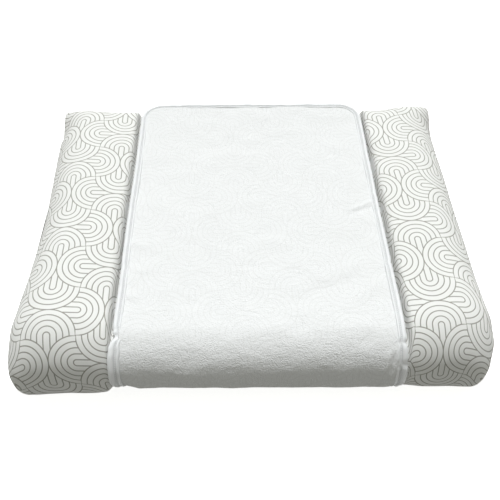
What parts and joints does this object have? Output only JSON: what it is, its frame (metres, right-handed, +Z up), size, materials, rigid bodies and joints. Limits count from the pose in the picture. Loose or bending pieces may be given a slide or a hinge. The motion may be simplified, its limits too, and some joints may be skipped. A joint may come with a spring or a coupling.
{
  "type": "changing pad",
  "caption": "Baby changing pad with raised padded ends, a zipped printed cotton cover over foam, and a strapped-on terry towel down the middle.",
  "frame": {"origin": "under the middle of the pad, on the surface that it lies on", "axes": "+X to the right-hand end seen from the front, +Y to the back, +Z up"},
  "size_m": [0.7049, 0.559, 0.1221],
  "materials": {
    "foam": "open-cell polyurethane foam, cream",
    "liner": "wipeable coated fabric, white, satin",
    "printed_cotton": "off-white cotton with a taupe line print",
    "plain_cotton": "plain off-white cotton",
    "zip_tape": "woven polyester tape",
    "zip_teeth": "moulded coil, white",
    "zip_metal": "plated die-cast zinc",
    "terry": "short white terry loops",
    "binding": "white satin bias tape, stitched",
    "elastic": "ribbed flat elastic, white",
    "label": "blank woven label, white"
  },
  "bodies": {
    "pad": {"foam_centre": "foam", "foam_side_left": "foam", "foam_side_right": "foam", "liner_top": "liner", "liner_base": "liner", "cover_top": "printed_cotton", "cover_base": "plain_cotton", "zip_tape_upper": "zip_tape", "zip_tape_lower": "zip_tape", "zip_teeth_upper": "zip_teeth", "zip_teeth_lower": "zip_teeth", "zip_bottom_stop": "zip_metal", "zip_top_stop_upper": "zip_metal", "zip_top_stop_lower": "zip_metal", "care_label": "label"},
    "towel": {"towel_panel": "terry", "towel_binding": "binding", "towel_front_hem": "binding", "elastic_strap_left": "elastic", "elastic_strap_right": "elastic"},
    "slider": {"zip_slider": "zip_metal"},
    "pull": {"zip_pull": "zip_metal"}
  },
  "joints": [
    {"name": "towel_slide", "type": "slide", "parent": "pad", "child": "towel", "axis": [0, -1, 0], "range_m": [0, 0.57], "deforming": ["elastic_strap_left", "elastic_strap_right"]},
    {"name": "zip_slide", "type": "slide", "parent": "pad", "child": "slider", "axis": [0, -1, 0], "range_m": [0, 0.38]},
    {"name": "zip_pull_hinge", "type": "hinge", "parent": "slider", "child": "pull", "pos_m": [0.3534, 0.19, 0.042], "axis": [0, 0, -1], "range_deg": [0, 178]}
  ]
}
